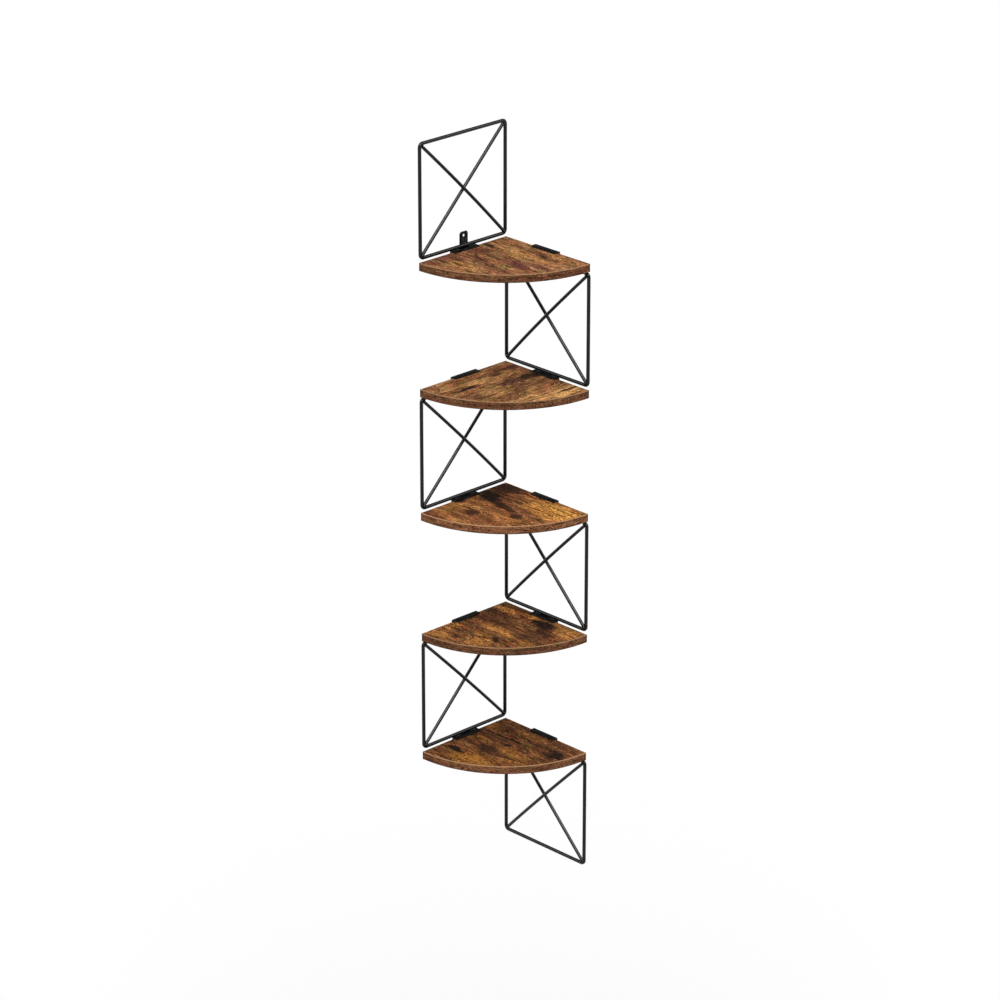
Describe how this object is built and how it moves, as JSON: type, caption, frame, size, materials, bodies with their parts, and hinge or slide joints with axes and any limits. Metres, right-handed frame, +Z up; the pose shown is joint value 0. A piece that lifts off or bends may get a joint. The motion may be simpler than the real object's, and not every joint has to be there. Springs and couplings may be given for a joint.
{
  "type": "corner shelf unit",
  "caption": "Tall open shelf unit for a room corner: quarter-round wooden boards carried by black wire panels with crossed braces that alternate between the two walls.",
  "frame": {"origin": "where the two walls meet, level with the underside of the lowest wire", "axes": "+Z up; +X from the corner along the wall of the even panels; -Y from the corner along the wall of the odd panels; the unit stands at +X and -Y of the corner"},
  "size_m": [0.2, 0.1982, 1.2748],
  "materials": {
    "black_coat": "matte black powder coat on steel wire and sheet",
    "rustic_wood": "printed rustic brown wood grain with dark knots and pores, satin",
    "edge_strip": "reddish brown wood grain edge strip, satin",
    "screw_steel": "black zinc-plated steel, satin"
  },
  "bodies": {
    "root": {"frame_1_wire": "black_coat", "frame_2_wire": "black_coat", "frame_3_wire": "black_coat", "frame_4_wire": "black_coat", "frame_5_wire": "black_coat", "frame_6_wire": "black_coat", "frame_1_brace_back": "black_coat", "frame_1_brace_front": "black_coat", "frame_2_brace_back": "black_coat", "frame_2_brace_front": "black_coat", "frame_3_brace_back": "black_coat", "frame_3_brace_front": "black_coat", "frame_4_brace_back": "black_coat", "frame_4_brace_front": "black_coat", "frame_5_brace_back": "black_coat", "frame_5_brace_front": "black_coat", "frame_6_brace_back": "black_coat", "frame_6_brace_front": "black_coat", "wall_tab": "black_coat", "bracket_1_above": "black_coat", "bracket_1_below": "black_coat", "bracket_2_above": "black_coat", "bracket_2_below": "black_coat", "bracket_3_above": "black_coat", "bracket_3_below": "black_coat", "bracket_4_above": "black_coat", "bracket_4_below": "black_coat", "bracket_5_above": "black_coat", "bracket_5_below": "black_coat", "screw_1_above_a": "screw_steel", "screw_1_above_b": "screw_steel", "screw_1_below_a": "screw_steel", "screw_1_below_b": "screw_steel", "screw_2_above_a": "screw_steel", "screw_2_above_b": "screw_steel", "screw_2_below_a": "screw_steel", "screw_2_below_b": "screw_steel", "screw_3_above_a": "screw_steel", "screw_3_above_b": "screw_steel", "screw_3_below_a": "screw_steel", "screw_3_below_b": "screw_steel", "screw_4_above_a": "screw_steel", "screw_4_above_b": "screw_steel", "screw_4_below_a": "screw_steel", "screw_4_below_b": "screw_steel", "screw_5_above_a": "screw_steel", "screw_5_above_b": "screw_steel", "screw_5_below_a": "screw_steel", "screw_5_below_b": "screw_steel", "shelf_1_board": "rustic_wood", "shelf_2_board": "rustic_wood", "shelf_3_board": "rustic_wood", "shelf_4_board": "rustic_wood", "shelf_5_board": "rustic_wood", "shelf_1_edge_band": "edge_strip", "shelf_2_edge_band": "edge_strip", "shelf_3_edge_band": "edge_strip", "shelf_4_edge_band": "edge_strip", "shelf_5_edge_band": "edge_strip"}
  },
  "joints": []
}
